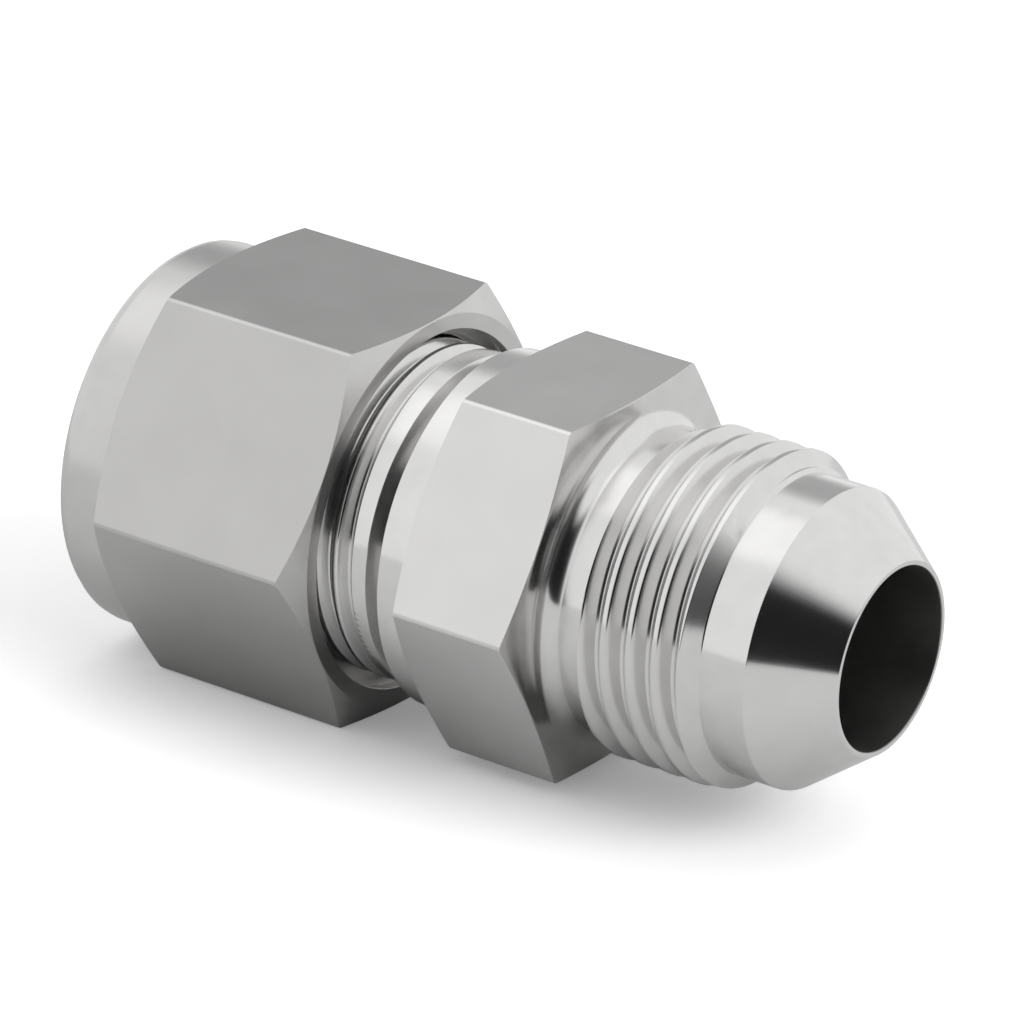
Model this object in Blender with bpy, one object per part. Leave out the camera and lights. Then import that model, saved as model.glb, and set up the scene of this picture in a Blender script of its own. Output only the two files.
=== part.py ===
"""Tube union in stainless steel: a two-ferrule compression end and a 37 degree flare end, both for 1/2 in tube.

It is four pieces: the body, the nut, and the two ferrules that the nut drives into the body's mouth.
Body and nut are made as in a shop, from hexagon bar: turned to a profile, bored, then threaded.
Every profile is a list of (x, r) points about the X axis. x is 0 where the corners of the body's
hexagon end on the flare side, and the nut lies on the side of negative x. The empty "union_axis"
lifts that axis, so that the nut's lower flat lies on z = 0 with the union centred over the origin.
"""
import math

import bmesh
import bpy

MM = 0.001

# Tube, bores and bar stock
TUBE_DIAMETER = 12.70 * MM
FLOW_BORE_DIAMETER = 10.20 * MM
BODY_HEX_FLATS = 20.64 * MM
NUT_HEX_FLATS = 22.225 * MM

# Thread between nut and body, 3/4-20, and thread of the flare end, 3/4-16
NUT_THREAD_DIAMETER = 19.05 * MM
NUT_THREAD_PITCH = 1.27 * MM
NUT_THREAD_CLEARANCE = 0.12 * MM
NUT_THREAD_PHASE = -22.56 * MM
FLARE_THREAD_DIAMETER = 19.05 * MM
FLARE_THREAD_PITCH = 1.5875 * MM
FLARE_THREAD_PHASE = 3.20 * MM
CREST_TRUNCATION = 0.14 * MM

# Shares of the pitch in a 60 degree thread
PITCH_LINE_SHARE = 0.325
DEPTH_SHARE = 0.61
OVERRUN_SHARE = 0.09
FLANK_SLOPE = math.tan(math.radians(30))

# Body, flare side
FLARE_NOSE_X = 16.80 * MM
FLARE_SEAT_ANGLE = math.radians(37)
FLARE_SEAT_LENGTH = 3.90 * MM
FLARE_LAND_DIAMETER = 16.66 * MM
FLARE_LAND_LENGTH = 2.77 * MM
THREAD_END_ANGLE = math.radians(33)
FLARE_NECK_DIAMETER = 16.60 * MM
FLARE_NECK_LENGTH = 2.85 * MM
FLARE_NECK_FILLET = 1.05 * MM
NOSE_EDGE_BREAK = 0.12 * MM

# Body, hexagon: the length of its corners, and the angles that its ends are turned to
BODY_HEX_LENGTH = 6.78 * MM
BODY_FRONT_CHAMFER = math.radians(12)
BODY_REAR_CHAMFER = math.radians(19)
BODY_FACE_DIAMETER = 20.40 * MM

# Body, tube side
HUB_LENGTH = 1.75 * MM
HUB_END_DIAMETER = 20.20 * MM
TUBE_NECK_LENGTH = 1.24 * MM
TUBE_NECK_DIAMETER = 17.10 * MM
TUBE_THREAD_STOP = 0.84 * MM
TUBE_END_X = -22.90 * MM
TUBE_END_CHAMFER = 0.95 * MM
TUBE_STOP_X = -7.20 * MM
SOCKET_CLEARANCE = 0.07 * MM
MOUTH_ANGLE = math.radians(20)
MOUTH_WIDENING = 1.20 * MM

# Ferrules. Their bore is tighter on the tube than the socket is
FERRULE_CLEARANCE = 0.05 * MM
FERRULE_WALL = 1.70 * MM
SEAT_GAP = 0.08 * MM
FRONT_COLLAR_GAP = 0.35 * MM
FRONT_COLLAR_LENGTH = 1.40 * MM
FRONT_TIP_WALL = 0.22 * MM
FRONT_CUP_DEPTH = 0.95 * MM
BACK_NOSE_WALL = 0.25 * MM
BACK_FLANGE_LENGTH = 0.60 * MM
BACK_BEVEL = 1.10 * MM
FERRULE_EDGE_BREAK = 0.15 * MM

# Nut
NUT_FACE_X = -12.95 * MM
NUT_LENGTH = 17.05 * MM
NUT_HEX_LENGTH = 12.05 * MM
NUT_CHAMFER = math.radians(26)
NUT_FACE_DIAMETER = 22.10 * MM
NUT_COLLAR_DIAMETER = 22.00 * MM
NUT_COLLAR_ROUND = 1.00 * MM
NUT_MOUTH_DIAMETER = 20.30 * MM
NUT_MOUTH_DEPTH = 0.60 * MM
NUT_RELIEF_LENGTH = 1.70 * MM
NUT_RELIEF_GAP = 0.25 * MM
NUT_RELIEF_DEPTH = 0.15 * MM
NUT_ENTRY_BREAK = 0.30 * MM

SEGMENTS = 32
ROUND_STEPS = 4
SHARP_ANGLE = math.radians(25)

# Radii and places that follow from the sizes above
SOCKET_RADIUS = TUBE_DIAMETER / 2 + SOCKET_CLEARANCE
MOUTH_RADIUS = SOCKET_RADIUS + MOUTH_WIDENING
FERRULE_BORE_RADIUS = TUBE_DIAMETER / 2 + FERRULE_CLEARANCE
FERRULE_RADIUS = TUBE_DIAMETER / 2 + FERRULE_WALL
FLOW_BORE_RADIUS = FLOW_BORE_DIAMETER / 2
FRONT_COLLAR_X = TUBE_END_X - FRONT_COLLAR_GAP
FRONT_REAR_X = FRONT_COLLAR_X - FRONT_COLLAR_LENGTH
BACK_FLANGE_X = FRONT_REAR_X - SEAT_GAP
BACK_BEVEL_X = BACK_FLANGE_X - BACK_FLANGE_LENGTH
NUT_REAR_X = NUT_FACE_X - NUT_LENGTH
NUT_RELIEF_X = FRONT_REAR_X - NUT_RELIEF_GAP
HEX_CORNER_SHARE = 1 / math.sqrt(3)


class Thread:
    """The radii of one thread. A nut's thread is the bolt's thread moved out by its clearance."""

    def __init__(self, diameter, pitch, clearance=0.0):
        self.pitch = pitch
        self.pitch_line = diameter / 2 - PITCH_LINE_SHARE * pitch + clearance
        self.crest = diameter / 2 - CREST_TRUNCATION
        self.root = diameter / 2 - DEPTH_SHARE * pitch
        self.overrun = OVERRUN_SHARE * pitch
        if clearance:
            self.crest = self.root + clearance
            self.root = diameter / 2 + clearance


BODY_TUBE_THREAD = Thread(NUT_THREAD_DIAMETER, NUT_THREAD_PITCH)
BODY_FLARE_THREAD = Thread(FLARE_THREAD_DIAMETER, FLARE_THREAD_PITCH)
NUT_THREAD = Thread(NUT_THREAD_DIAMETER, NUT_THREAD_PITCH, NUT_THREAD_CLEARANCE)


def clear_scene():
    for thing in list(bpy.data.objects):
        bpy.data.objects.remove(thing, do_unlink=True)


def steel(name, colour, roughness):
    """Bare stainless steel."""
    material = bpy.data.materials.new(name)
    material.use_nodes = True
    shader = material.node_tree.nodes["Principled BSDF"]
    shader.inputs["Base Color"].default_value = (*colour, 1.0)
    shader.inputs["Metallic"].default_value = 1.0
    shader.inputs["Roughness"].default_value = roughness
    material.diffuse_color = (*colour, 1.0)
    return material


def arc(centre_x, centre_r, radius, start, end):
    """Points (x, r) along a round corner. 0 degrees points along +X and 90 away from the axis."""
    angles = [math.radians(start + (end - start) * i / ROUND_STEPS) for i in range(ROUND_STEPS + 1)]
    return [(centre_x + radius * math.cos(a), centre_r + radius * math.sin(a)) for a in angles]


def finished(mesh_name, bm):
    """A mesh from bm, with its normals outward and its round faces smooth."""
    bmesh.ops.recalc_face_normals(bm, faces=bm.faces)
    mesh = bpy.data.meshes.new(mesh_name)
    bm.to_mesh(mesh)
    bm.free()
    mesh.shade_smooth()
    mesh.set_sharp_from_angle(angle=SHARP_ANGLE)
    return mesh


def add_object(name, mesh, axis, material=None):
    piece = bpy.data.objects.new(name, mesh)
    bpy.context.scene.collection.objects.link(piece)
    piece.parent = axis
    if material:
        mesh.materials.append(material)
    return piece


def hide_helper(helper):
    helper.hide_render = True
    helper.display_type = "WIRE"


def turned(name, outline):
    """A closed outline of (x, r) points turned about the X axis, as on a lathe."""
    bm = bmesh.new()
    corners = [bm.verts.new((x, r, 0.0)) for x, r in outline]
    for first, second in zip(corners, corners[1:] + corners[:1]):
        bm.edges.new((first, second))
    bmesh.ops.spin(
        bm,
        geom=bm.verts[:] + bm.edges[:],
        cent=(0.0, 0.0, 0.0),
        axis=(1.0, 0.0, 0.0),
        angle=2 * math.pi,
        steps=SEGMENTS,
        use_merge=True,
    )
    bmesh.ops.remove_doubles(bm, verts=bm.verts, dist=0.001 * MM)
    return finished(name, bm)


def hexagon_bar(name, flats, start_x, end_x):
    """Bar stock, with one flat facing straight down."""
    bm = bmesh.new()
    radius = flats * HEX_CORNER_SHARE
    angles = [math.radians(60 * i) for i in range(6)]
    end = bm.faces.new([bm.verts.new((start_x, radius * math.cos(a), radius * math.sin(a))) for a in angles])
    drawn = bmesh.ops.extrude_face_region(bm, geom=[end])["geom"]
    moved = [item for item in drawn if isinstance(item, bmesh.types.BMVert)]
    bmesh.ops.translate(bm, verts=moved, vec=(end_x - start_x, 0.0, 0.0))
    return finished(name, bm)


def thread_cutter(name, thread, phase_x, start_x, end_x):
    """The helical groove that a threading tool takes out, from start_x to end_x.

    Its middle passes phase_x at 0 degrees, on the +Y side, and climbs one pitch in X for each turn from
    +Y to +Z, which makes it right-handed. Its corners lie halfway between those of a turned piece.
    """
    surface = thread.crest + math.copysign(thread.overrun, thread.crest - thread.root)
    section = []
    for radius, side in ((thread.root, -1), (thread.root, 1), (surface, 1), (surface, -1)):
        rise = abs(radius - thread.pitch_line) * (1 if radius == surface else -1)
        section.append((side * (thread.pitch / 4 + rise * FLANK_SLOPE), radius))
    first = math.ceil((start_x - phase_x) / thread.pitch * SEGMENTS)
    last = math.floor((end_x - phase_x) / thread.pitch * SEGMENTS)
    bm = bmesh.new()
    rings = []
    for step in range(first, last + 1):
        turns = (step + 0.5) / SEGMENTS
        angle = 2 * math.pi * turns
        middle = phase_x + thread.pitch * turns
        rings.append([
            bm.verts.new((middle + x, r * math.cos(angle), r * math.sin(angle))) for x, r in section
        ])
    for ring, following in zip(rings, rings[1:]):
        for i in range(len(section)):
            j = (i + 1) % len(section)
            bm.faces.new((ring[i], ring[j], following[j], following[i]))
    bm.faces.new(rings[0])
    bm.faces.new(rings[-1])
    return finished(name, bm)


def machine(piece, operation, helper):
    """Cuts helper from piece, or keeps only what the two share."""
    hide_helper(helper)
    cut = piece.modifiers.new(helper.name, "BOOLEAN")
    cut.operation = operation
    cut.object = helper
    cut.solver = "EXACT"


def body_outline():
    corner = BODY_HEX_FLATS * HEX_CORNER_SHARE
    clear_of_bar = corner + 0.3 * MM
    face = BODY_FACE_DIAMETER / 2
    front_x = (corner - face) * math.tan(BODY_FRONT_CHAMFER)
    rear_x = -BODY_HEX_LENGTH - (corner - face) * math.tan(BODY_REAR_CHAMFER)
    hub_x = rear_x - HUB_LENGTH
    tube_neck_x = hub_x - TUBE_NECK_LENGTH
    tube_neck = TUBE_NECK_DIAMETER / 2
    neck = FLARE_NECK_DIAMETER / 2
    land = FLARE_LAND_DIAMETER / 2
    seat_x = FLARE_NOSE_X - FLARE_SEAT_LENGTH
    land_x = seat_x - FLARE_LAND_LENGTH
    thread_end_x = land_x - (BODY_FLARE_THREAD.crest - land) * math.tan(THREAD_END_ANGLE)
    thread_start_x = front_x + FLARE_NECK_LENGTH
    nose = land - FLARE_SEAT_LENGTH * math.tan(FLARE_SEAT_ANGLE)
    tube_crest = BODY_TUBE_THREAD.crest
    outer = [
        (TUBE_END_X, tube_crest - TUBE_END_CHAMFER),
        (TUBE_END_X + TUBE_END_CHAMFER, tube_crest),
        (tube_neck_x, tube_crest),
        (tube_neck_x + (tube_crest - tube_neck) * math.tan(THREAD_END_ANGLE), tube_neck),
        (hub_x, tube_neck),
        (hub_x, HUB_END_DIAMETER / 2),
        (rear_x, face),
        (rear_x + (clear_of_bar - face) * math.tan(BODY_REAR_CHAMFER), clear_of_bar),
        (front_x - (clear_of_bar - face) * math.tan(BODY_FRONT_CHAMFER), clear_of_bar),
        (front_x, face),
        *arc(front_x + FLARE_NECK_FILLET, neck + FLARE_NECK_FILLET, FLARE_NECK_FILLET, 180, 270),
        (thread_start_x, neck),
        (thread_start_x, BODY_FLARE_THREAD.crest),
        (thread_end_x, BODY_FLARE_THREAD.crest),
        (land_x, land),
        (seat_x, land),
        (FLARE_NOSE_X, nose),
    ]
    bored = [
        (FLARE_NOSE_X, FLOW_BORE_RADIUS + NOSE_EDGE_BREAK),
        (FLARE_NOSE_X - NOSE_EDGE_BREAK, FLOW_BORE_RADIUS),
        (TUBE_STOP_X, FLOW_BORE_RADIUS),
        (TUBE_STOP_X, SOCKET_RADIUS),
        (TUBE_END_X + MOUTH_WIDENING / math.tan(MOUTH_ANGLE), SOCKET_RADIUS),
        (TUBE_END_X, MOUTH_RADIUS),
    ]
    return outer + bored


def make_body(axis):
    """The body: hexagon bar turned at both ends, bored through, with a socket and a mouth for the tube."""
    material = steel("body_steel", (0.66, 0.65, 0.64), 0.22)
    body = add_object("fitting_body", turned("fitting_body", body_outline()), axis, material)
    bar = hexagon_bar("body_bar", BODY_HEX_FLATS, TUBE_END_X - 1 * MM, FLARE_NOSE_X + 1 * MM)
    machine(body, "INTERSECT", add_object("body_bar", bar, axis))

    corner = BODY_HEX_FLATS * HEX_CORNER_SHARE
    face = BODY_FACE_DIAMETER / 2
    hub_x = -BODY_HEX_LENGTH - (corner - face) * math.tan(BODY_REAR_CHAMFER) - HUB_LENGTH
    # The threading tool lifts out a little before the thread's end, so its last ridge is a wide one.
    groove = thread_cutter(
        "tube_thread_cutter",
        BODY_TUBE_THREAD,
        NUT_THREAD_PHASE,
        TUBE_END_X - NUT_THREAD_PITCH / 2,
        hub_x - TUBE_NECK_LENGTH - TUBE_THREAD_STOP,
    )
    machine(body, "DIFFERENCE", add_object("tube_thread_cutter", groove, axis))

    thread_start_x = (corner - face) * math.tan(BODY_FRONT_CHAMFER) + FLARE_NECK_LENGTH
    land_x = FLARE_NOSE_X - FLARE_SEAT_LENGTH - FLARE_LAND_LENGTH
    groove = thread_cutter(
        "flare_thread_cutter",
        BODY_FLARE_THREAD,
        FLARE_THREAD_PHASE,
        thread_start_x - FLARE_THREAD_PITCH / 2,
        land_x + FLARE_THREAD_PITCH / 2,
    )
    machine(body, "DIFFERENCE", add_object("flare_thread_cutter", groove, axis))


def nut_outline():
    corner = NUT_HEX_FLATS * HEX_CORNER_SHARE
    clear_of_bar = corner + 0.3 * MM
    face = NUT_FACE_DIAMETER / 2
    collar = NUT_COLLAR_DIAMETER / 2
    hex_end_x = NUT_FACE_X - (corner - face) * math.tan(NUT_CHAMFER) - NUT_HEX_LENGTH
    collar_x = hex_end_x - (corner - collar) * math.tan(NUT_CHAMFER)
    mouth = NUT_MOUTH_DIAMETER / 2
    lead_x = NUT_FACE_X - NUT_MOUTH_DEPTH
    relief = NUT_THREAD.root + NUT_RELIEF_DEPTH
    relief_end_x = NUT_RELIEF_X + NUT_RELIEF_LENGTH
    cone_offset = FERRULE_RADIUS + SEAT_GAP * math.sqrt(2) - BACK_BEVEL_X
    outer = [
        (NUT_REAR_X, SOCKET_RADIUS + NUT_ENTRY_BREAK),
        *arc(NUT_REAR_X + NUT_COLLAR_ROUND, collar - NUT_COLLAR_ROUND, NUT_COLLAR_ROUND, 180, 90),
        (collar_x, collar),
        (collar_x + (clear_of_bar - collar) * math.tan(NUT_CHAMFER), clear_of_bar),
        (NUT_FACE_X - (clear_of_bar - face) * math.tan(NUT_CHAMFER), clear_of_bar),
        (NUT_FACE_X, face),
    ]
    bored = [
        (NUT_FACE_X, mouth),
        (lead_x, mouth),
        (lead_x - (mouth - NUT_THREAD.crest), NUT_THREAD.crest),
        (relief_end_x + relief - NUT_THREAD.crest, NUT_THREAD.crest),
        (relief_end_x, relief),
        (NUT_RELIEF_X, relief),
        (NUT_RELIEF_X, NUT_RELIEF_X + cone_offset),
        (SOCKET_RADIUS - cone_offset, SOCKET_RADIUS),
        (NUT_REAR_X + NUT_ENTRY_BREAK, SOCKET_RADIUS),
    ]
    return outer + bored


def make_nut(axis):
    """The nut: its thread runs out into a relief, and the 45 degree cone behind it drives the ferrules."""
    material = steel("nut_steel", (0.60, 0.59, 0.58), 0.34)
    nut = add_object("nut", turned("nut", nut_outline()), axis, material)
    bar = hexagon_bar("nut_bar", NUT_HEX_FLATS, NUT_REAR_X - 1 * MM, NUT_FACE_X + 1 * MM)
    machine(nut, "INTERSECT", add_object("nut_bar", bar, axis))
    # The nut's grooves take the body's ridges, which lie half a pitch from the body's grooves.
    groove = thread_cutter(
        "nut_thread_cutter",
        NUT_THREAD,
        NUT_THREAD_PHASE + NUT_THREAD_PITCH / 2,
        NUT_RELIEF_X + NUT_RELIEF_LENGTH / 2,
        NUT_FACE_X,
    )
    machine(nut, "DIFFERENCE", add_object("nut_thread_cutter", groove, axis))


def make_front_ferrule(axis):
    """The front ferrule: its cone lies in the body's mouth, and its cup takes the back ferrule's nose."""
    slope = math.tan(MOUTH_ANGLE)
    cone_at_mouth = MOUTH_RADIUS - SEAT_GAP / math.cos(MOUTH_ANGLE)
    tip = FERRULE_BORE_RADIUS + FRONT_TIP_WALL
    outline = [
        (FRONT_REAR_X, FERRULE_BORE_RADIUS + FRONT_CUP_DEPTH),
        (FRONT_REAR_X, FERRULE_RADIUS - FERRULE_EDGE_BREAK),
        (FRONT_REAR_X + FERRULE_EDGE_BREAK, FERRULE_RADIUS),
        (FRONT_COLLAR_X - FERRULE_EDGE_BREAK, FERRULE_RADIUS),
        (FRONT_COLLAR_X, FERRULE_RADIUS - FERRULE_EDGE_BREAK),
        (FRONT_COLLAR_X, cone_at_mouth + FRONT_COLLAR_GAP * slope),
        (TUBE_END_X + (cone_at_mouth - tip) / slope, tip),
        (TUBE_END_X + (cone_at_mouth - tip) / slope, FERRULE_BORE_RADIUS),
        (FRONT_REAR_X + FRONT_CUP_DEPTH, FERRULE_BORE_RADIUS),
    ]
    material = steel("front_ferrule_steel", (0.64, 0.63, 0.62), 0.25)
    add_object("front_ferrule", turned("front_ferrule", outline), axis, material)


def make_back_ferrule(axis):
    """The back ferrule: a thin nose under the front ferrule, and a bevel that the nut's cone pushes."""
    nose = FERRULE_BORE_RADIUS + BACK_NOSE_WALL
    cup_offset = FERRULE_BORE_RADIUS + FRONT_CUP_DEPTH - SEAT_GAP * math.sqrt(2) + FRONT_REAR_X
    outline = [
        (BACK_BEVEL_X - BACK_BEVEL, FERRULE_BORE_RADIUS),
        (BACK_BEVEL_X - BACK_BEVEL, FERRULE_RADIUS - BACK_BEVEL),
        (BACK_BEVEL_X, FERRULE_RADIUS),
        (BACK_FLANGE_X - FERRULE_EDGE_BREAK, FERRULE_RADIUS),
        (BACK_FLANGE_X, FERRULE_RADIUS - FERRULE_EDGE_BREAK),
        (BACK_FLANGE_X, cup_offset - BACK_FLANGE_X),
        (cup_offset - nose, nose),
        (cup_offset - nose, FERRULE_BORE_RADIUS),
    ]
    material = steel("back_ferrule_steel", (0.64, 0.63, 0.62), 0.25)
    add_object("back_ferrule", turned("back_ferrule", outline), axis, material)


def make_union():
    clear_scene()
    axis = bpy.data.objects.new("union_axis", None)
    bpy.context.scene.collection.objects.link(axis)
    axis.location = (-(NUT_REAR_X + FLARE_NOSE_X) / 2, 0.0, NUT_HEX_FLATS / 2)
    make_body(axis)
    make_nut(axis)
    make_front_ferrule(axis)
    make_back_ferrule(axis)


make_union()
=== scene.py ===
"""The looks of a stainless tube union: a hexagon body, its nut and two ferrules, lying on a pale table."""
import math

import bmesh
import bpy
from mathutils import Matrix, Vector


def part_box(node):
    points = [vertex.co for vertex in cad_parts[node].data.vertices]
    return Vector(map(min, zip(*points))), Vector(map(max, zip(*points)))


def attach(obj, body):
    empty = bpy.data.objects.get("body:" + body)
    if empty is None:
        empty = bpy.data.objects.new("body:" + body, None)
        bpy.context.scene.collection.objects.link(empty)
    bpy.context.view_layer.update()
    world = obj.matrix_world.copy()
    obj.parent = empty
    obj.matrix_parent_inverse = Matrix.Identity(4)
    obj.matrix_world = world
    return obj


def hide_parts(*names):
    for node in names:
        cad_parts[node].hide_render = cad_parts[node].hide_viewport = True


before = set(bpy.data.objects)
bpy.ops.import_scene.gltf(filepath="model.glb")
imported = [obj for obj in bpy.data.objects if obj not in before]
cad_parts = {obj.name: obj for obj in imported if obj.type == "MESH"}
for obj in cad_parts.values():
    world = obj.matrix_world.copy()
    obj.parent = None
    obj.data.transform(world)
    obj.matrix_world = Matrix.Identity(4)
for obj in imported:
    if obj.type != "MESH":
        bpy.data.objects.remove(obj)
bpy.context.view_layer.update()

# Camera
# A long lens from the right and above, turned a little on its side, so that the axis of the union
# falls towards the lower right corner.
VIEW_AZIMUTH = math.radians(33.2823)
VIEW_ELEVATION = math.radians(24.8716)
VIEW_ROLL = math.radians(2.3229)
VIEW_DISTANCE = 0.3973163
VIEW_AIM = Vector((0.0007807, -0.0022977, 0.0138577))
camera = bpy.data.objects.new("camera", bpy.data.cameras.new("camera"))
camera.data.sensor_width = 36
camera.data.lens = 260.92
turn = Matrix.Rotation(VIEW_AZIMUTH, 4, "Z") @ Matrix.Rotation(math.radians(90) - VIEW_ELEVATION, 4, "X")
away = turn @ Vector((0, 0, 1))
roll = Matrix.Rotation(VIEW_ROLL, 4, "Z")
camera.matrix_world = Matrix.Translation(VIEW_AIM + VIEW_DISTANCE * away) @ turn @ roll
bpy.context.scene.collection.objects.link(camera)
bpy.context.scene.camera = camera

# Fitting body
# One piece of stainless hexagon bar, turned at both ends, bored through and threaded for the nut on
# the tube side and for a flare nut on the other. Turned surfaces are bright, and flats finely ground.
# Outlines are (x, r, rounding) about the X axis, and x is 0 at the front hexagon corners.
MM = 0.001
TURN_STEPS = 144
NOSE_X = 16.80 * MM
BORE_R = 5.10 * MM
SOCKET_R = 6.42 * MM
SEAT_X = 12.90 * MM
LAND_X = 10.13 * MM
LAND_R = 8.33 * MM
SEAT_SLOPE = math.tan(math.radians(37))
THREAD_END_SLOPE = math.tan(math.radians(33))
NECK_R = 8.30 * MM
NECK_LENGTH = 2.85 * MM
NECK_FILLET = 1.05 * MM
BODY_FLATS = 20.64 * MM
BODY_FACE_R = 10.20 * MM
BODY_HEX_LENGTH = 6.78 * MM
BODY_FRONT_SLOPE = math.tan(math.radians(12))
BODY_REAR_SLOPE = math.tan(math.radians(19))
HUB_LENGTH = 1.75 * MM
HUB_END_R = 10.10 * MM
TUBE_NECK_LENGTH = 1.24 * MM
TUBE_NECK_R = 8.55 * MM
TUBE_END_X = -22.90 * MM
TUBE_END_CHAMFER = 0.95 * MM
TUBE_STOP_X = -7.20 * MM
MOUTH_R = 7.62 * MM
MOUTH_LENGTH = 3.30 * MM
THREAD_R = 9.525 * MM
CREST_R = 9.385 * MM
FLARE_PITCH = 1.5875 * MM
FLARE_PHASE = 3.20 * MM
NUT_PITCH = 1.27 * MM
NUT_PHASE = -22.56 * MM
TUBE_THREAD_STOP = 0.84 * MM
BAR_MARGIN = 0.3 * MM
BAR_SPARE = 1 * MM
BAR_CORNER_R = 0.40 * MM
AXIS_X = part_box("fitting_body")[1][0] - NOSE_X
AXIS_Z = (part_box("nut")[0][2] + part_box("nut")[1][2]) / 2
TO_FRAME = Matrix.Translation((AXIS_X, 0, AXIS_Z))


def rounded(corners, steps=4):
    """The outline with an arc at each corner, of the radius that the corner gives."""
    outline = []
    for i, (x, r, radius) in enumerate(corners):
        here = Vector((x, r))
        before = (Vector(corners[i - 1][:2]) - here).normalized()
        after = (Vector(corners[(i + 1) % len(corners)][:2]) - here).normalized()
        if radius == 0:
            outline.append(here)
            continue
        half = before.angle(after) / 2
        centre = here + (before + after).normalized() * radius / math.sin(half)
        spoke = here + before * radius / math.tan(half) - centre
        sweep = spoke.angle_signed(here + after * radius / math.tan(half) - centre)
        outline += [centre + Matrix.Rotation(-sweep * k / steps, 2) @ spoke for k in range(steps + 1)]
    return outline


def new_piece(name, bm, *finishes):
    """A piece from bm with its faces outward."""
    bmesh.ops.recalc_face_normals(bm, faces=bm.faces)
    mesh = bpy.data.meshes.new(name)
    bm.to_mesh(mesh)
    bm.free()
    for finish in finishes:
        mesh.materials.append(finish)
    piece = bpy.data.objects.new(name, mesh)
    bpy.context.scene.collection.objects.link(piece)
    return piece


SEAM = 0.0005 * MM
INWARD = -0.2


def turned(name, corners, *finishes):
    """A closed outline turned about the union's axis, as on a lathe. A second finish is for bores."""
    bm = bmesh.new()
    ring = [bm.verts.new((point[0], point[1], 0)) for point in rounded(corners)]
    for first, second in zip(ring, ring[1:] + ring[:1]):
        bm.edges.new((first, second))
    bmesh.ops.spin(
        bm,
        geom=bm.verts[:] + bm.edges[:],
        cent=(0, 0, 0),
        axis=(1, 0, 0),
        angle=math.tau,
        steps=TURN_STEPS,
        use_merge=True,
    )
    bmesh.ops.remove_doubles(bm, verts=bm.verts, dist=SEAM)
    bmesh.ops.recalc_face_normals(bm, faces=bm.faces)
    if len(finishes) == 2:
        for face in bm.faces:
            outward = Vector((0, *face.calc_center_median().yz)).normalized()
            face.material_index = 1 if face.normal.dot(outward) < INWARD else 0
    return new_piece(name, bm, *finishes)


def hexagon_bar(name, flats, start_x, end_x, finish):
    """Drawn bar with its long corners a little rounded, and one flat facing down."""
    corner = flats / math.sqrt(3)
    angles = [math.radians(60 * i) for i in range(6)]
    section = rounded([(corner * math.cos(a), corner * math.sin(a), BAR_CORNER_R) for a in angles], 5)
    bm = bmesh.new()
    end = bm.faces.new([bm.verts.new((start_x, y, z)) for y, z in section])
    drawn = bmesh.ops.extrude_face_region(bm, geom=[end])["geom"]
    moved = [item for item in drawn if isinstance(item, bmesh.types.BMVert)]
    bmesh.ops.translate(bm, verts=moved, vec=(end_x - start_x, 0, 0))
    return new_piece(name, bm, finish)


def groove_tree():
    """The groove that a threading tool cuts: its section swept along a right-hand helix about X."""
    tree = bpy.data.node_groups.new("thread_groove", "GeometryNodeTree")
    tree.interface.new_socket("Geometry", in_out="OUTPUT", socket_type="NodeSocketGeometry")
    for name in ("Start", "First Turn", "Turns", "Pitch", "Pitch Radius"):
        tree.interface.new_socket(name, in_out="INPUT", socket_type="NodeSocketFloat")
    tree.interface.new_socket("Section", in_out="INPUT", socket_type="NodeSocketObject")
    tree.interface.new_socket("Finish", in_out="INPUT", socket_type="NodeSocketMaterial")
    nodes, links = tree.nodes, tree.links
    sizes = nodes.new("NodeGroupInput")

    height = nodes.new("ShaderNodeMath")
    height.operation = "MULTIPLY"
    links.new(sizes.outputs["Pitch"], height.inputs[0])
    links.new(sizes.outputs["Turns"], height.inputs[1])
    helix = nodes.new("GeometryNodeCurveSpiral")
    helix.inputs["Resolution"].default_value = TURN_STEPS
    helix.inputs["Reverse"].default_value = True
    links.new(sizes.outputs["Turns"], helix.inputs["Rotations"])
    links.new(sizes.outputs["Pitch Radius"], helix.inputs["Start Radius"])
    links.new(sizes.outputs["Pitch Radius"], helix.inputs["End Radius"])
    links.new(height.outputs[0], helix.inputs["Height"])
    upright = nodes.new("GeometryNodeSetCurveNormal")
    upright.mode = "Z_UP"
    links.new(helix.outputs[0], upright.inputs["Curve"])

    section = nodes.new("GeometryNodeObjectInfo")
    links.new(sizes.outputs["Section"], section.inputs["Object"])
    sweep = nodes.new("GeometryNodeCurveToMesh")
    sweep.inputs["Fill Caps"].default_value = True
    links.new(upright.outputs[0], sweep.inputs["Curve"])
    links.new(section.outputs["Geometry"], sweep.inputs["Profile Curve"])
    started = nodes.new("GeometryNodeTransform")
    turn_to = nodes.new("ShaderNodeCombineXYZ")
    move_to = nodes.new("ShaderNodeCombineXYZ")
    links.new(sizes.outputs["First Turn"], turn_to.inputs["Z"])
    links.new(sizes.outputs["Start"], move_to.inputs["Z"])
    links.new(sweep.outputs[0], started.inputs["Geometry"])
    links.new(turn_to.outputs[0], started.inputs["Rotation"])
    links.new(move_to.outputs[0], started.inputs["Translation"])
    laid = nodes.new("GeometryNodeTransform")
    laid.inputs["Rotation"].default_value = (math.radians(90), 0, math.radians(90))
    links.new(started.outputs[0], laid.inputs["Geometry"])

    realised = nodes.new("GeometryNodeRealizeInstances")
    finished = nodes.new("GeometryNodeSetMaterial")
    links.new(laid.outputs[0], realised.inputs[0])
    links.new(realised.outputs[0], finished.inputs["Geometry"])
    links.new(sizes.outputs["Finish"], finished.inputs["Material"])
    result = nodes.new("NodeGroupOutput")
    links.new(finished.outputs[0], result.inputs[0])
    return tree


GROOVE = groove_tree()


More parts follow.
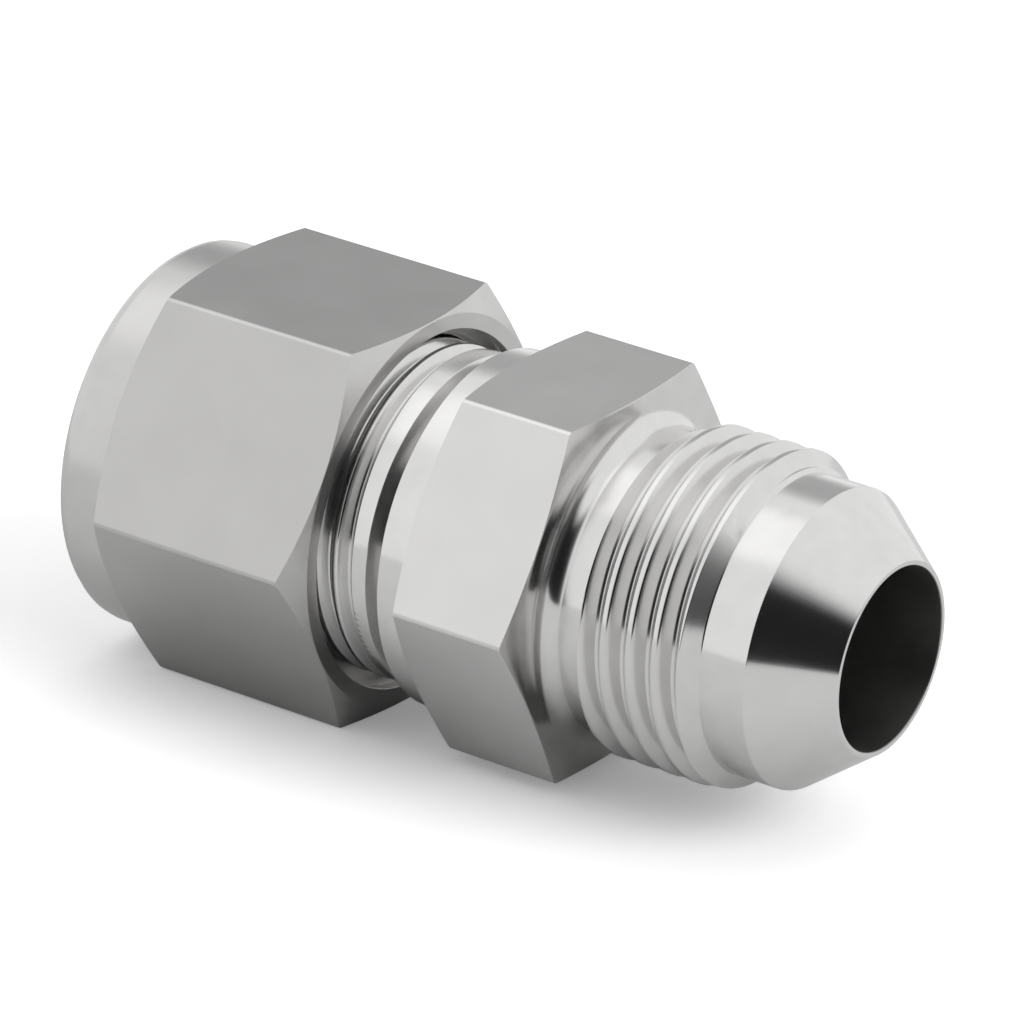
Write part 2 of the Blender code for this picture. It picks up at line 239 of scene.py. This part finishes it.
PITCH_LINE_SHARE = 0.325
DEPTH_SHARE = 0.61
THREAD_CLEARANCE = 0.12 * MM
FLANK_SLOPE = math.tan(math.radians(30))
CREST_BREAK_DEPTH = 0.020 * MM
CREST_BREAK_RISE = 0.027 * MM
CREST_BREAK_WIDTH = 0.10 * MM
CREST_BREAK_R = 0.14 * MM
OVERCUT = 0.12 * MM


def groove(name, pitch, phase_x, start_x, end_x, root, crest, root_radius):
    """The groove of a 60 degree thread, from start_x to end_x. Its middle passes phase_x on the +Y side.

    Its root is round, and its flanks open out at the crest, so that the ridge's edges are round too.
    A root further out than the crest makes it a groove in a bore, such as the nut's.
    """
    out = 1 if crest > root else -1
    pitch_line = THREAD_R - PITCH_LINE_SHARE * pitch + (THREAD_CLEARANCE if out == -1 else 0)

    def half_width(radius):
        return pitch / 4 + (radius - pitch_line) * out * FLANK_SLOPE

    edge = crest - CREST_BREAK_DEPTH * out
    side = [
        (root, half_width(root), root_radius),
        (edge, half_width(edge), CREST_BREAK_R),
        (edge + CREST_BREAK_RISE * out, half_width(edge) + CREST_BREAK_WIDTH, 0),
        (crest + OVERCUT * out, half_width(edge) + CREST_BREAK_WIDTH, 0),
    ]
    corners = [(r - pitch_line, x, radius) for r, x, radius in side]
    corners += [(r, -x, radius) for r, x, radius in reversed(corners)]
    outline = rounded(corners, 3)[::-out]
    section = bpy.data.curves.new(name + "_section", "CURVE")
    spline = section.splines.new("POLY")
    spline.points.add(len(outline) - 1)
    for point, place in zip(spline.points, outline):
        point.co = (place[0], place[1], 0, 1)
    spline.use_cyclic_u = True
    shape = bpy.data.objects.new(name + "_section", section)
    sizes = {
        "Start": start_x,
        "First Turn": math.tau * ((start_x - phase_x) / pitch % 1),
        "Turns": (end_x - start_x) / pitch,
        "Pitch": pitch,
        "Pitch Radius": pitch_line,
        "Section": shape,
        "Finish": thread_cut,
    }
    tool = bpy.data.objects.new(name, bpy.data.meshes.new(name))
    bpy.context.scene.collection.objects.link(tool)
    sweep = tool.modifiers.new("groove", "NODES")
    sweep.node_group = GROOVE
    for socket in GROOVE.interface.items_tree:
        if socket.name in sizes:
            sweep[socket.identifier] = sizes[socket.name]
    made(tool)
    bpy.data.objects.remove(shape)
    return tool


def made(piece):
    """The piece with its modifiers turned into plain mesh."""
    bpy.context.view_layer.update()
    shown = piece.evaluated_get(bpy.context.evaluated_depsgraph_get())
    mesh = bpy.data.meshes.new_from_object(shown)
    piece.modifiers.clear()
    piece.data = mesh
    return piece


SLIVER = 0.006 * MM


def machined(piece, kept_in, *cuts):
    """The piece kept inside the bar, with the cuts taken out and their slivers merged away."""
    for tool in (kept_in, *cuts):
        step = piece.modifiers.new(tool.name, "BOOLEAN")
        step.operation = "INTERSECT" if tool is kept_in else "DIFFERENCE"
        step.solver = "EXACT"
        step.material_mode = "TRANSFER"
        step.object = tool
    made(piece)
    for tool in (kept_in, *cuts):
        bpy.data.objects.remove(tool)
    whole = bmesh.new()
    whole.from_mesh(piece.data)
    bmesh.ops.remove_doubles(whole, verts=whole.verts, dist=SLIVER)
    bmesh.ops.dissolve_degenerate(whole, edges=whole.edges, dist=SLIVER)
    whole.to_mesh(piece.data)
    whole.free()
    return polished(piece)


SHARP_ANGLE = math.radians(28)


def polished(piece):
    """The piece in its place, shaded smooth over its fine facets, with straight flanks left straight."""
    piece.data.transform(TO_FRAME)
    piece.data.shade_smooth()
    piece.data.set_sharp_from_angle(angle=SHARP_ANGLE)
    straight = piece.modifiers.new("straight_flanks", "WEIGHTED_NORMAL")
    straight.mode = "FACE_AREA_WITH_ANGLE"
    straight.keep_sharp = True
    return made(piece)


RADIUS_SHARE = 0.83


def lathe_marks():
    """The fine rings of a turning tool, on cylinders and on end faces, and a slow change of shade."""
    group = bpy.data.node_groups.new("lathe_marks", "ShaderNodeTree")
    group.interface.new_socket("Ring Spacing", in_out="INPUT", socket_type="NodeSocketFloat")
    group.interface.new_socket("Height", in_out="OUTPUT", socket_type="NodeSocketFloat")
    group.interface.new_socket("Shade", in_out="OUTPUT", socket_type="NodeSocketFloat")
    nodes, links = group.nodes, group.links
    sizes = nodes.new("NodeGroupInput")
    place = nodes.new("ShaderNodeTexCoord")
    centred = nodes.new("ShaderNodeMapping")
    centred.inputs["Location"].default_value = (0, 0, -AXIS_Z)
    links.new(place.outputs["Object"], centred.inputs["Vector"])
    split = nodes.new("ShaderNodeSeparateXYZ")
    links.new(centred.outputs[0], split.inputs[0])
    spoke = nodes.new("ShaderNodeCombineXYZ")
    links.new(split.outputs["Y"], spoke.inputs["Y"])
    links.new(split.outputs["Z"], spoke.inputs["Z"])
    radius = nodes.new("ShaderNodeVectorMath")
    radius.operation = "LENGTH"
    links.new(spoke.outputs[0], radius.inputs[0])
    along = nodes.new("ShaderNodeMath")
    along.operation = "MULTIPLY_ADD"
    along.inputs[1].default_value = RADIUS_SHARE
    links.new(radius.outputs["Value"], along.inputs[0])
    links.new(split.outputs["X"], along.inputs[2])
    rings = nodes.new("ShaderNodeMath")
    rings.operation = "DIVIDE"
    links.new(along.outputs[0], rings.inputs[0])
    links.new(sizes.outputs["Ring Spacing"], rings.inputs[1])
    fine = nodes.new("ShaderNodeTexNoise")
    fine.noise_dimensions = "1D"
    fine.inputs["Scale"].default_value = 1
    fine.inputs["Detail"].default_value = 2
    links.new(rings.outputs[0], fine.inputs["W"])
    broad = nodes.new("ShaderNodeTexNoise")
    broad.inputs["Scale"].default_value = 700
    broad.inputs["Detail"].default_value = 3
    links.new(centred.outputs[0], broad.inputs["Vector"])
    result = nodes.new("NodeGroupOutput")
    links.new(fine.outputs["Fac"], result.inputs["Height"])
    links.new(broad.outputs["Fac"], result.inputs["Shade"])
    return group


def bar_grain():
    """The grain of ground or drawn flats: specks drawn out along X, as a height and a shade."""
    group = bpy.data.node_groups.new("bar_grain", "ShaderNodeTree")
    group.interface.new_socket("Grain Size", in_out="INPUT", socket_type="NodeSocketFloat")
    group.interface.new_socket("Stretch", in_out="INPUT", socket_type="NodeSocketFloat")
    group.interface.new_socket("Height", in_out="OUTPUT", socket_type="NodeSocketFloat")
    group.interface.new_socket("Shade", in_out="OUTPUT", socket_type="NodeSocketFloat")
    nodes, links = group.nodes, group.links
    sizes = nodes.new("NodeGroupInput")
    place = nodes.new("ShaderNodeTexCoord")
    per_grain = nodes.new("ShaderNodeMath")
    per_grain.operation = "DIVIDE"
    per_grain.inputs[0].default_value = 1
    links.new(sizes.outputs["Grain Size"], per_grain.inputs[1])
    along = nodes.new("ShaderNodeMath")
    along.operation = "DIVIDE"
    links.new(per_grain.outputs[0], along.inputs[0])
    links.new(sizes.outputs["Stretch"], along.inputs[1])
    scale = nodes.new("ShaderNodeCombineXYZ")
    links.new(along.outputs[0], scale.inputs["X"])
    links.new(per_grain.outputs[0], scale.inputs["Y"])
    links.new(per_grain.outputs[0], scale.inputs["Z"])
    stretched = nodes.new("ShaderNodeVectorMath")
    stretched.operation = "MULTIPLY"
    links.new(place.outputs["Object"], stretched.inputs[0])
    links.new(scale.outputs[0], stretched.inputs[1])
    specks = nodes.new("ShaderNodeTexNoise")
    specks.inputs["Scale"].default_value = 1
    specks.inputs["Detail"].default_value = 3
    links.new(stretched.outputs[0], specks.inputs["Vector"])
    clouds = nodes.new("ShaderNodeTexNoise")
    clouds.inputs["Scale"].default_value = 260
    clouds.inputs["Detail"].default_value = 4
    links.new(place.outputs["Object"], clouds.inputs["Vector"])
    result = nodes.new("NodeGroupOutput")
    links.new(specks.outputs["Fac"], result.inputs["Height"])
    links.new(clouds.outputs["Fac"], result.inputs["Shade"])
    return group


LATHE_MARKS = lathe_marks()
BAR_GRAIN = bar_grain()


DARKEST = 0.93
LIGHTEST = 1.07
QUARTER_TURN = 0.25


def steel(name, effect, settings, colour, roughness, roughness_spread, bump, anisotropy=0.0):
    """Bare stainless steel. The effect's shade moves its colour and roughness, and its height its bump."""
    material = bpy.data.materials.new(name)
    material.use_nodes = True
    nodes, links = material.node_tree.nodes, material.node_tree.links
    shader = nodes["Principled BSDF"]
    shader.inputs["Metallic"].default_value = 1
    shader.inputs["Anisotropic"].default_value = anisotropy
    pattern = nodes.new("ShaderNodeGroup")
    pattern.node_tree = effect
    for socket, value in settings.items():
        pattern.inputs[socket].default_value = value
    tint = nodes.new("ShaderNodeMix")
    tint.data_type = "RGBA"
    tint.inputs["A"].default_value = (*[DARKEST * c for c in colour], 1)
    tint.inputs["B"].default_value = (*[LIGHTEST * c for c in colour], 1)
    links.new(pattern.outputs["Shade"], tint.inputs["Factor"])
    links.new(tint.outputs["Result"], shader.inputs["Base Color"])
    rough = nodes.new("ShaderNodeMapRange")
    rough.inputs["To Min"].default_value = roughness - roughness_spread
    rough.inputs["To Max"].default_value = roughness + roughness_spread
    links.new(pattern.outputs["Shade"], rough.inputs["Value"])
    links.new(rough.outputs[0], shader.inputs["Roughness"])
    relief = nodes.new("ShaderNodeBump")
    relief.inputs["Distance"].default_value = bump
    links.new(pattern.outputs["Height"], relief.inputs["Height"])
    links.new(relief.outputs[0], shader.inputs["Normal"])
    if anisotropy:
        shader.inputs["Anisotropic Rotation"].default_value = QUARTER_TURN
        rings = nodes.new("ShaderNodeTangent")
        rings.direction_type = "RADIAL"
        rings.axis = "X"
        links.new(rings.outputs[0], shader.inputs["Tangent"])
    return material


bright_turned = steel(
    "body_turned",
    LATHE_MARKS,
    {"Ring Spacing": 0.05 * MM},
    colour=(0.74, 0.735, 0.73),
    roughness=0.15,
    roughness_spread=0.02,
    bump=0.0004 * MM,
    anisotropy=0.6,
)
thread_cut = steel(
    "thread_cut",
    LATHE_MARKS,
    {"Ring Spacing": 0.04 * MM},
    colour=(0.72, 0.715, 0.71),
    roughness=0.18,
    roughness_spread=0.03,
    bump=0.0004 * MM,
    anisotropy=0.4,
)
# The bores get a far darker colour than the same steel outside: painted shade inside the bores. Their
# higher roughness is the rougher bored finish.
bored = steel(
    "body_bore_painted_shade",
    LATHE_MARKS,
    {"Ring Spacing": 0.09 * MM},
    colour=(0.30, 0.295, 0.29),
    roughness=0.40,
    roughness_spread=0.04,
    bump=0.0006 * MM,
    anisotropy=0.4,
)
body_ground = steel(
    "body_ground",
    BAR_GRAIN,
    {"Grain Size": 0.12 * MM, "Stretch": 1.6},
    colour=(0.73, 0.725, 0.72),
    roughness=0.25,
    roughness_spread=0.03,
    bump=0.0012 * MM,
)

body_corner = BODY_FLATS / math.sqrt(3)
clear_of_bar = body_corner + BAR_MARGIN
shoulder_x = (body_corner - BODY_FACE_R) * BODY_FRONT_SLOPE
hub_x = -BODY_HEX_LENGTH - (body_corner - BODY_FACE_R) * BODY_REAR_SLOPE
neck_x = hub_x - HUB_LENGTH
tube_thread_x = neck_x - TUBE_NECK_LENGTH
thread_x = shoulder_x + NECK_LENGTH
body = turned("body_steel", [
    (TUBE_END_X, CREST_R - TUBE_END_CHAMFER, 0),
    (TUBE_END_X + TUBE_END_CHAMFER, CREST_R, 0),
    (tube_thread_x, CREST_R, 0.05 * MM),
    (tube_thread_x + (CREST_R - TUBE_NECK_R) * THREAD_END_SLOPE, TUBE_NECK_R, 0.15 * MM),
    (neck_x, TUBE_NECK_R, 0.15 * MM),
    (neck_x, HUB_END_R, 0.10 * MM),
    (hub_x, BODY_FACE_R, 0),
    (hub_x + (clear_of_bar - BODY_FACE_R) * BODY_REAR_SLOPE, clear_of_bar, 0),
    (shoulder_x - (clear_of_bar - BODY_FACE_R) * BODY_FRONT_SLOPE, clear_of_bar, 0),
    (shoulder_x, BODY_FACE_R, 0),
    (shoulder_x, NECK_R, NECK_FILLET),
    (thread_x, NECK_R, 0.10 * MM),
    (thread_x, CREST_R, 0.04 * MM),
    (LAND_X - (CREST_R - LAND_R) * THREAD_END_SLOPE, CREST_R, 0.05 * MM),
    (LAND_X, LAND_R, 0.12 * MM),
    (SEAT_X, LAND_R, 0.10 * MM),
    (NOSE_X, LAND_R - (NOSE_X - SEAT_X) * SEAT_SLOPE, 0.05 * MM),
    (NOSE_X, BORE_R, 0.08 * MM),
    (TUBE_STOP_X, BORE_R, 0),
    (TUBE_STOP_X, SOCKET_R, 0),
    (TUBE_END_X + MOUTH_LENGTH, SOCKET_R, 0),
    (TUBE_END_X, MOUTH_R, 0),
], bright_turned, bored)
body_bar = hexagon_bar("body_bar", BODY_FLATS, TUBE_END_X - BAR_SPARE, NOSE_X + BAR_SPARE, body_ground)
flare_root = THREAD_R - DEPTH_SHARE * FLARE_PITCH
flare_groove = groove(
    "flare_groove",
    FLARE_PITCH,
    FLARE_PHASE,
    start_x=thread_x - 0.5 * FLARE_PITCH,
    end_x=LAND_X + 0.5 * FLARE_PITCH,
    root=flare_root,
    crest=CREST_R,
    root_radius=0.22 * MM,
)
nut_root = THREAD_R - DEPTH_SHARE * NUT_PITCH
tube_groove = groove(
    "tube_groove",
    NUT_PITCH,
    NUT_PHASE,
    start_x=TUBE_END_X - 0.5 * NUT_PITCH,
    end_x=tube_thread_x - TUBE_THREAD_STOP,
    root=nut_root,
    crest=CREST_R,
    root_radius=0.17 * MM,
)
machined(body, body_bar, flare_groove, tube_groove)
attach(body, "union_body")
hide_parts("fitting_body")

# Front ferrule
# A tapered stainless ring that lies in the body's mouth. Turned, with a cup at its rear for the nose
# of the back ferrule.
FERRULE_BORE_R = 6.40 * MM
FERRULE_R = 8.05 * MM
FRONT_X = -23.25 * MM
FRONT_REAR_X = -24.65 * MM
CUP_DEPTH = 0.95 * MM
TIP_WALL = 0.22 * MM
CONE_GAP = 0.085 * MM
ferrule_steel = steel(
    "ferrule_turned",
    LATHE_MARKS,
    {"Ring Spacing": 0.03 * MM},
    colour=(0.70, 0.695, 0.69),
    roughness=0.22,
    roughness_spread=0.03,
    bump=0.0003 * MM,
    anisotropy=0.6,
)
mouth_slope = (MOUTH_R - SOCKET_R) / MOUTH_LENGTH
cone_r = MOUTH_R - CONE_GAP
tip_r = FERRULE_BORE_R + TIP_WALL
tip_x = TUBE_END_X + (cone_r - tip_r) / mouth_slope
front_ferrule = turned("front_ferrule_steel", [
    (FRONT_REAR_X, FERRULE_BORE_R + CUP_DEPTH, 0.03 * MM),
    (FRONT_REAR_X, FERRULE_R, 0.12 * MM),
    (FRONT_X, FERRULE_R, 0.12 * MM),
    (FRONT_X, cone_r + (TUBE_END_X - FRONT_X) * mouth_slope, 0.03 * MM),
    (tip_x, tip_r, 0.04 * MM),
    (tip_x, FERRULE_BORE_R, 0.04 * MM),
    (FRONT_REAR_X + CUP_DEPTH, FERRULE_BORE_R, 0.04 * MM),
], ferrule_steel)
polished(front_ferrule)
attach(front_ferrule, "ferrules")
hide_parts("front_ferrule")

# Back ferrule
# The smaller stainless ring behind it: a thin nose in the front ferrule's cup, and a flange with the
# bevel that the nut's cone pushes.
BACK_X = -24.73 * MM
BACK_BEVEL_X = -25.33 * MM
BACK_BEVEL = 1.10 * MM
SEAT_OFFSET = 0.113 * MM
NOSE_WALL = 0.25 * MM
cup_line = FERRULE_BORE_R + CUP_DEPTH - SEAT_OFFSET + FRONT_REAR_X
nose_r = FERRULE_BORE_R + NOSE_WALL
back_ferrule = turned("back_ferrule_steel", [
    (BACK_BEVEL_X - BACK_BEVEL, FERRULE_BORE_R, 0.06 * MM),
    (BACK_BEVEL_X - BACK_BEVEL, FERRULE_R - BACK_BEVEL, 0.06 * MM),
    (BACK_BEVEL_X, FERRULE_R, 0.06 * MM),
    (BACK_X, FERRULE_R, 0.10 * MM),
    (BACK_X, cup_line - BACK_X, 0.03 * MM),
    (cup_line - nose_r, nose_r, 0.03 * MM),
    (cup_line - nose_r, FERRULE_BORE_R, 0.03 * MM),
], ferrule_steel)
polished(back_ferrule)
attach(back_ferrule, "ferrules")
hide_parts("back_ferrule")

# Nut
# Stainless hexagon bar with a satin finish, chamfered at both ends. A short collar with a round edge
# stands at the rear, where the tube goes in. Inside are the thread, a relief and the 45 degree cone
# that drives the ferrules.
NUT_FLATS = 22.225 * MM
NUT_X = -12.95 * MM
NUT_REAR_X = -30.00 * MM
NUT_FACE_R = 11.05 * MM
NUT_SLOPE = math.tan(math.radians(26))
NUT_HEX_LENGTH = 12.05 * MM
COLLAR_R = 11.00 * MM
MOUTH_EDGE_R = 10.15 * MM
MOUTH_DEPTH = 0.60 * MM
RELIEF_R = 9.795 * MM
RELIEF_X = -24.90 * MM
RELIEF_LENGTH = 1.70 * MM
nut_satin = steel(
    "nut_satin",
    BAR_GRAIN,
    {"Grain Size": 0.10 * MM, "Stretch": 2.5},
    colour=(0.57, 0.565, 0.56),
    roughness=0.26,
    roughness_spread=0.03,
    bump=0.0008 * MM,
)
nut_turned = steel(
    "nut_turned",
    LATHE_MARKS,
    {"Ring Spacing": 0.12 * MM},
    colour=(0.62, 0.615, 0.61),
    roughness=0.26,
    roughness_spread=0.03,
    bump=0.0002 * MM,
    anisotropy=0.2,
)
nut_corner = NUT_FLATS / math.sqrt(3)
nut_clear = nut_corner + BAR_MARGIN
hex_end_x = NUT_X - (nut_corner - NUT_FACE_R) * NUT_SLOPE - NUT_HEX_LENGTH
collar_x = hex_end_x - (nut_corner - COLLAR_R) * NUT_SLOPE
nut_crest = nut_root + THREAD_CLEARANCE
relief_end_x = RELIEF_X + RELIEF_LENGTH
drive_line = FERRULE_R + SEAT_OFFSET - BACK_BEVEL_X
nut = turned("nut_steel", [
    (NUT_REAR_X, SOCKET_R, 0.25 * MM),
    (NUT_REAR_X, COLLAR_R, 1.00 * MM),
    (collar_x, COLLAR_R, 0.10 * MM),
    (collar_x + (nut_clear - COLLAR_R) * NUT_SLOPE, nut_clear, 0),
    (NUT_X - (nut_clear - NUT_FACE_R) * NUT_SLOPE, nut_clear, 0),
    (NUT_X, NUT_FACE_R, 0.05 * MM),
    (NUT_X, MOUTH_EDGE_R, 0.06 * MM),
    (NUT_X - MOUTH_DEPTH, MOUTH_EDGE_R, 0),
    (NUT_X - MOUTH_DEPTH - (MOUTH_EDGE_R - nut_crest), nut_crest, 0),
    (relief_end_x + RELIEF_R - nut_crest, nut_crest, 0),
    (relief_end_x, RELIEF_R, 0),
    (RELIEF_X, RELIEF_R, 0.15 * MM),
    (RELIEF_X, RELIEF_X + drive_line, 0),
    (SOCKET_R - drive_line, SOCKET_R, 0.10 * MM),
], nut_turned)
nut_bar = hexagon_bar("nut_bar", NUT_FLATS, NUT_REAR_X - BAR_SPARE, NUT_X + BAR_SPARE, nut_satin)
nut_groove = groove(
    "nut_groove",
    NUT_PITCH,
    NUT_PHASE + 0.5 * NUT_PITCH,
    start_x=RELIEF_X + 0.5 * RELIEF_LENGTH,
    end_x=NUT_X,
    root=THREAD_R + THREAD_CLEARANCE,
    crest=nut_crest,
    root_radius=0.06 * MM,
)
machined(nut, nut_bar, nut_groove)
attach(nut, "nut")
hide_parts("nut")

# Table
# A round sheet of pale paper, with the union's shadow on it. It is white to the camera, and its own
# pale grey to the steel, which mirrors its edge.
SHEET_RADIUS = 130 * MM
SHEET_GREY = (0.67, 0.67, 0.67, 1)
SHEET_LIFT = 0.20
sheet_mesh = bmesh.new()
bmesh.ops.create_circle(sheet_mesh, cap_ends=True, segments=96, radius=SHEET_RADIUS)
white_sheet = bpy.data.materials.new("white_sheet")
white_sheet.use_nodes = True
sheet_nodes, sheet_links = white_sheet.node_tree.nodes, white_sheet.node_tree.links
paper = sheet_nodes["Principled BSDF"]
paper.inputs["Roughness"].default_value = 0.8
paper.inputs["Specular IOR Level"].default_value = 0
seen = sheet_nodes.new("ShaderNodeLightPath")
sheet_colour = sheet_nodes.new("ShaderNodeMix")
sheet_colour.data_type = "RGBA"
sheet_colour.inputs["A"].default_value = SHEET_GREY
sheet_colour.inputs["B"].default_value = (1, 1, 1, 1)
sheet_links.new(seen.outputs["Is Camera Ray"], sheet_colour.inputs["Factor"])
sheet_links.new(sheet_colour.outputs["Result"], paper.inputs["Base Color"])
paper.inputs["Emission Color"].default_value = (1, 1, 1, 1)
lift = sheet_nodes.new("ShaderNodeMath")
lift.operation = "MULTIPLY"
lift.inputs[1].default_value = SHEET_LIFT
sheet_links.new(seen.outputs["Is Camera Ray"], lift.inputs[0])
sheet_links.new(lift.outputs[0], paper.inputs["Emission Strength"])
white_sheet.cycles.emission_sampling = "NONE"
table = new_piece("table", sheet_mesh, white_sheet)

# Studio light
# A soft white room, dark behind the camera, which gives the turned steel its black bands. A soft lamp
# on the right puts the union's shadow to its left. The camera itself sees plain white.
LAMP_AZIMUTH = math.radians(90)
LAMP_LEVEL = math.radians(34)
world = bpy.data.worlds.new("studio")
bpy.context.scene.world = world
world.use_nodes = True
sky, sky_links = world.node_tree.nodes, world.node_tree.links
background = sky["Background"]
background.inputs["Color"].default_value = (1, 1, 1, 1)


def ramp(value, low, high, to_low, to_high):
    """A smooth change from to_low to to_high while the value goes from low to high."""
    node = sky.new("ShaderNodeMapRange")
    node.interpolation_type = "SMOOTHSTEP"
    for socket, number in (("From Min", low), ("From Max", high), ("To Min", to_low), ("To Max", to_high)):
        node.inputs[socket].default_value = number
    sky_links.new(value, node.inputs["Value"])
    return node.outputs[0]


def combined(operation, first, second):
    """Two values brought together by one sum, product or other operation."""
    node = sky.new("ShaderNodeMath")
    node.operation = operation
    sky_links.new(first, node.inputs[0])
    sky_links.new(second, node.inputs[1])
    return node.outputs[0]


def facing(azimuth, level, flat=False):
    """How far a direction faces a place of the room, from -1 to 1, or its compass direction alone."""
    node = sky.new("ShaderNodeVectorMath")
    node.operation = "DOT_PRODUCT"
    a, e = math.radians(azimuth), math.radians(level)
    node.inputs[1].default_value = (math.sin(a) * math.cos(e), -math.cos(a) * math.cos(e), math.sin(e))
    if flat:
        level_only = sky.new("ShaderNodeVectorMath")
        level_only.operation = "MULTIPLY"
        level_only.inputs[1].default_value = (1, 1, 0)
        unit = sky.new("ShaderNodeVectorMath")
        unit.operation = "NORMALIZE"
        sky_links.new(direction.outputs["Generated"], level_only.inputs[0])
        sky_links.new(level_only.outputs[0], unit.inputs[0])
        sky_links.new(unit.outputs[0], node.inputs[0])
    else:
        sky_links.new(direction.outputs["Generated"], node.inputs[0])
    return node.outputs["Value"]


direction = sky.new("ShaderNodeTexCoord")
panel = ramp(facing(-90, 64), 0.90, 0.98, 0.95, 1.20)
dim_corner = ramp(facing(-150, 22), 0.91, 0.99, 1.0, 0.50)
room = combined("MULTIPLY", panel, dim_corner)
dark_side = ramp(facing(44, 0, flat=True), 0.38, 0.70, 0.0, 1.0)
dark_low = ramp(facing(100, 72), 0.70, 0.96, 1.0, 0.0)
dark = combined("MULTIPLY", dark_side, dark_low)
deepest = ramp(facing(40, 10), 0.50, 0.95, 0.72, 0.92)
kept = ramp(combined("MULTIPLY", dark, deepest), 0.0, 1.0, 1.0, 0.0)
studio = combined("MULTIPLY", room, kept)
path = sky.new("ShaderNodeLightPath")
choice = sky.new("ShaderNodeMix")
sky_links.new(path.outputs["Is Camera Ray"], choice.inputs["Factor"])
sky_links.new(studio, choice.inputs["A"])
choice.inputs["B"].default_value = 1
sky_links.new(choice.outputs["Result"], background.inputs["Strength"])
lamp = bpy.data.objects.new("soft_lamp", bpy.data.lights.new("soft_lamp", "SUN"))
lamp.data.energy = 1.6
lamp.data.angle = math.radians(40)
lamp.visible_glossy = False
raised = Matrix.Rotation(math.radians(90) - LAMP_LEVEL, 4, "X")
lamp.matrix_world = Matrix.Rotation(LAMP_AZIMUTH, 4, "Z") @ raised
bpy.context.scene.collection.objects.link(lamp)
bpy.context.scene.view_settings.view_transform = "Standard"
